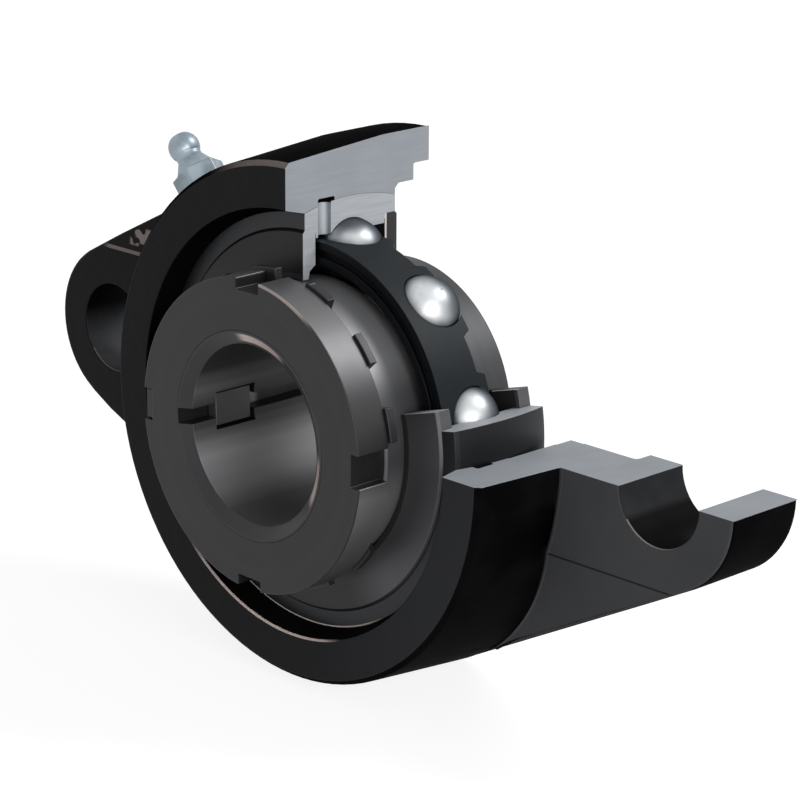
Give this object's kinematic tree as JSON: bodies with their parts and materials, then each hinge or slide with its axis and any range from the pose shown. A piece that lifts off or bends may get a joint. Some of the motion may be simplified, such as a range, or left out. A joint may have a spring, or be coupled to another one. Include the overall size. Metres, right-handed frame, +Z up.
{
  "type": "two-bolt flange bearing unit",
  "caption": "Oval two-bolt flange housing with a self-aligning ball bearing on a slotted-nut adapter sleeve, cut open on one quarter to show its inside.",
  "frame": {"origin": "on the shaft axis at the mounting plane, the flange's back face", "axes": "-Y along the shaft towards the lock nut, X through both bolt holes, Z up"},
  "size_m": [0.1596, 0.0402, 0.09],
  "materials": {
    "housing_paint": "satin black paint, bare grey iron on the cut faces",
    "outer_ring_steel": "ground",
    "inner_ring_steel": "ground",
    "cage_polymer": "semi-matt",
    "ball_steel": "polished",
    "seal_sheet": "dark coated sheet",
    "seal_rubber": "matt",
    "sleeve_steel": "phosphated",
    "nut_steel": "phosphated",
    "washer_steel": "phosphated",
    "nipple_zinc": "zinc plated"
  },
  "bodies": {
    "housing": {"housing": "housing_paint", "grease_nipple": "nipple_zinc"},
    "outer": {"outer_ring": "outer_ring_steel", "front_seal_plate": "seal_sheet", "front_seal_lip": "seal_rubber", "rear_seal_plate": "seal_sheet", "rear_seal_lip": "seal_rubber"},
    "inner": {"inner_ring": "inner_ring_steel", "adapter_sleeve": "sleeve_steel", "lock_nut": "nut_steel", "lock_washer": "washer_steel"},
    "cage": {"cage": "cage_polymer"},
    "ball_1": {"ball_1": "ball_steel"},
    "ball_2": {"ball_2": "ball_steel"},
    "ball_3": {"ball_3": "ball_steel"},
    "ball_4": {"ball_4": "ball_steel"},
    "ball_5": {"ball_5": "ball_steel"},
    "ball_6": {"ball_6": "ball_steel"},
    "ball_7": {"ball_7": "ball_steel"},
    "ball_8": {"ball_8": "ball_steel"},
    "ball_9": {"ball_9": "ball_steel"},
    "nipple_ball": {"nipple_ball": "ball_steel"}
  },
  "joints": [
    {"name": "self_align", "type": "hinge", "parent": "housing", "child": "outer", "pos_m": [0, -0.0177, 0], "axis": [1, 0, 0], "range_deg": [-2, 2]},
    {"name": "shaft_spin", "type": "hinge", "parent": "outer", "child": "inner", "pos_m": [0, -0.0177, 0], "axis": [0, 1, 0], "continuous": true},
    {"name": "cage_spin", "type": "hinge", "parent": "outer", "child": "cage", "pos_m": [0, -0.0177, 0], "axis": [0, 1, 0], "continuous": true},
    {"name": "ball_1_spin", "type": "hinge", "parent": "cage", "child": "ball_1", "pos_m": [0.02638, -0.0177, 0.00441], "axis": [0, 1, 0], "continuous": true},
    {"name": "ball_2_spin", "type": "hinge", "parent": "cage", "child": "ball_2", "pos_m": [0.01737, -0.0177, 0.02034], "axis": [0, 1, 0], "continuous": true},
    {"name": "ball_3_spin", "type": "hinge", "parent": "cage", "child": "ball_3", "pos_m": [0.00023, -0.0177, 0.02675], "axis": [0, 1, 0], "continuous": true},
    {"name": "ball_4_spin", "type": "hinge", "parent": "cage", "child": "ball_4", "pos_m": [-0.01701, -0.0177, 0.02064], "axis": [0, 1, 0], "continuous": true},
    {"name": "ball_5_spin", "type": "hinge", "parent": "cage", "child": "ball_5", "pos_m": [-0.0263, -0.0177, 0.00487], "axis": [0, 1, 0], "continuous": true},
    {"name": "ball_6_spin", "type": "hinge", "parent": "cage", "child": "ball_6", "pos_m": [-0.02328, -0.0177, -0.01317], "axis": [0, 1, 0], "continuous": true},
    {"name": "ball_7_spin", "type": "hinge", "parent": "cage", "child": "ball_7", "pos_m": [-0.00937, -0.0177, -0.02506], "axis": [0, 1, 0], "continuous": true},
    {"name": "ball_8_spin", "type": "hinge", "parent": "cage", "child": "ball_8", "pos_m": [0.00893, -0.0177, -0.02522], "axis": [0, 1, 0], "continuous": true},
    {"name": "ball_9_spin", "type": "hinge", "parent": "cage", "child": "ball_9", "pos_m": [0.02305, -0.0177, -0.01358], "axis": [0, 1, 0], "continuous": true},
    {"name": "nipple_valve", "type": "slide", "parent": "housing", "child": "nipple_ball", "axis": [0.6691, 0, -0.7431], "range_m": [0, 0.001]}
  ],
  "couplings": [
    {"joint": "cage_spin", "follows": "shaft_spin", "ratio": 0.3963},
    {"joint": "ball_1_spin", "follows": "shaft_spin", "ratio": -2.306},
    {"joint": "ball_2_spin", "follows": "shaft_spin", "ratio": -2.306},
    {"joint": "ball_3_spin", "follows": "shaft_spin", "ratio": -2.306},
    {"joint": "ball_4_spin", "follows": "shaft_spin", "ratio": -2.306},
    {"joint": "ball_5_spin", "follows": "shaft_spin", "ratio": -2.306},
    {"joint": "ball_6_spin", "follows": "shaft_spin", "ratio": -2.306},
    {"joint": "ball_7_spin", "follows": "shaft_spin", "ratio": -2.306},
    {"joint": "ball_8_spin", "follows": "shaft_spin", "ratio": -2.306},
    {"joint": "ball_9_spin", "follows": "shaft_spin", "ratio": -2.306}
  ]
}
